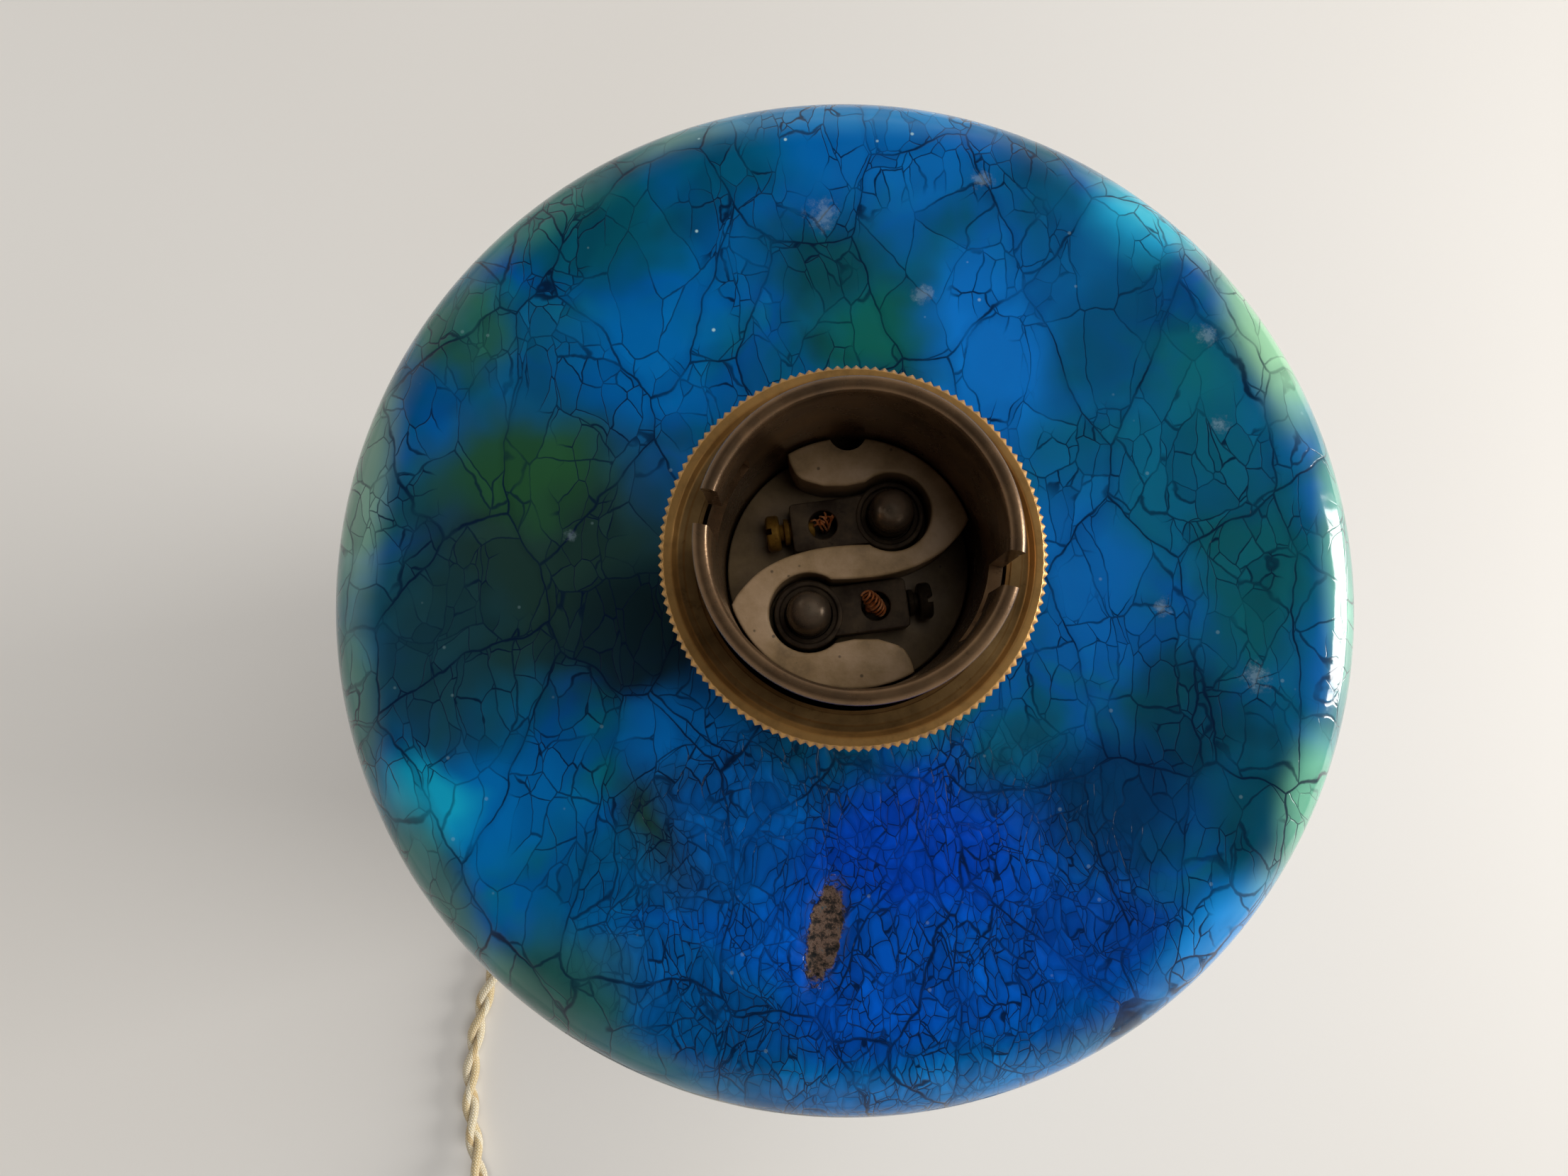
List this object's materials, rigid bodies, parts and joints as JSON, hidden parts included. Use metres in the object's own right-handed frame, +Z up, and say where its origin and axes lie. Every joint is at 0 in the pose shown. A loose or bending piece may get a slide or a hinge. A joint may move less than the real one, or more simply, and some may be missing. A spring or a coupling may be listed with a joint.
{
  "type": "table lamp base",
  "caption": "Tall ceramic table lamp base with a brass bayonet lampholder, knurled shade ring, twisted cloth flex, in-line rocker switch and flat two-pin plug.",
  "frame": {"origin": "on the table under the middle of the lamp's foot", "axes": "+Z up along the lamp's axis; the flex leaves the foot towards -X and -Y and is coiled on the -Y side"},
  "size_m": [0.2283, 0.3151, 0.3],
  "materials": {
    "glaze": "crackled turquoise and cobalt glaze, high gloss",
    "felt": "dense green felt",
    "bush_rubber": "matt black rubber",
    "washer_rubber": "matt rubber",
    "bright_brass": "satin brass",
    "steel": "zinc plated",
    "aged_brass": "aged brown, tarnished",
    "ring_brass": "aged olive brown, knurl rubbed gold",
    "porcelain": "unglazed cream porcelain, dusty",
    "dark_brass": "dark tarnished brass",
    "screw_brass": "tarnished brass",
    "copper": "bare copper strands",
    "core_insulation": "pale rubber insulation",
    "flex_cloth": "cream and gold braided cloth",
    "bakelite": "brown bakelite, polished",
    "rocker_ivory": "ivory urea moulding",
    "nickel": "nickel plated"
  },
  "bodies": {
    "lamp": {"ceramic_body": "glaze", "felt_ring": "felt", "flex_bush": "bush_rubber", "threaded_nipple": "bright_brass", "rubber_washer": "washer_rubber", "steel_washer": "steel", "nipple_nut": "bright_brass", "bayonet_barrel": "aged_brass", "holder_cap": "aged_brass", "seat_washer": "bright_brass", "cap_set_screw": "steel", "porcelain_insert": "porcelain", "contact_terminal_a": "dark_brass", "contact_terminal_b": "dark_brass", "contact_spring_a": "steel", "contact_spring_b": "steel", "wire_strands_a": "copper", "wire_strands_b": "copper", "core_a": "core_insulation", "core_b": "core_insulation", "flex_inside": "flex_cloth", "flex_run": "flex_cloth", "flex_link": "flex_cloth", "flex_tail": "flex_cloth", "flex_coil": "flex_cloth", "switch_base": "bakelite", "switch_cover": "bakelite", "switch_screw_a": "nickel", "switch_screw_b": "nickel", "switch_contact_a": "bright_brass", "switch_contact_b": "bright_brass", "plug_body": "bakelite", "plug_screw": "nickel", "plug_pin_a": "nickel", "plug_pin_b": "nickel"},
    "shade_ring": {"shade_ring": "ring_brass"},
    "plunger_a": {"contact_plunger_a": "dark_brass"},
    "plunger_b": {"contact_plunger_b": "dark_brass"},
    "terminal_screw_a": {"terminal_screw_a": "screw_brass"},
    "terminal_screw_b": {"terminal_screw_b": "screw_brass"},
    "rocker": {"switch_rocker": "rocker_ivory"}
  },
  "joints": [
    {"name": "shade_ring_travel", "type": "slide", "parent": "lamp", "child": "shade_ring", "axis": [0, 0, 1], "range_m": [0, 0.008]},
    {"name": "plunger_a_press", "type": "slide", "parent": "lamp", "child": "plunger_a", "axis": [0, 0, -1], "range_m": [0, 0.0023], "stiffness_N_per_m": 1500, "springref_m": -0.0008, "deforming": ["contact_spring_a"]},
    {"name": "plunger_b_press", "type": "slide", "parent": "lamp", "child": "plunger_b", "axis": [0, 0, -1], "range_m": [0, 0.0023], "stiffness_N_per_m": 1500, "springref_m": -0.0008, "deforming": ["contact_spring_b"]},
    {"name": "terminal_screw_a_turn", "type": "hinge", "parent": "lamp", "child": "terminal_screw_a", "pos_m": [0.00365, 0.00445, 0.28145], "axis": [-0.9914, -0.1305, 0], "range_deg": [-720, 0]},
    {"name": "terminal_screw_b_turn", "type": "hinge", "parent": "lamp", "child": "terminal_screw_b", "pos_m": [-0.00365, -0.00445, 0.28145], "axis": [0.9914, 0.1305, 0], "range_deg": [-720, 0]},
    {"name": "switch_rocker_tilt", "type": "hinge", "parent": "lamp", "child": "rocker", "pos_m": [-0.1035, -0.1956, 0.0156], "axis": [1, 0, 0], "range_deg": [0, 18]}
  ]
}
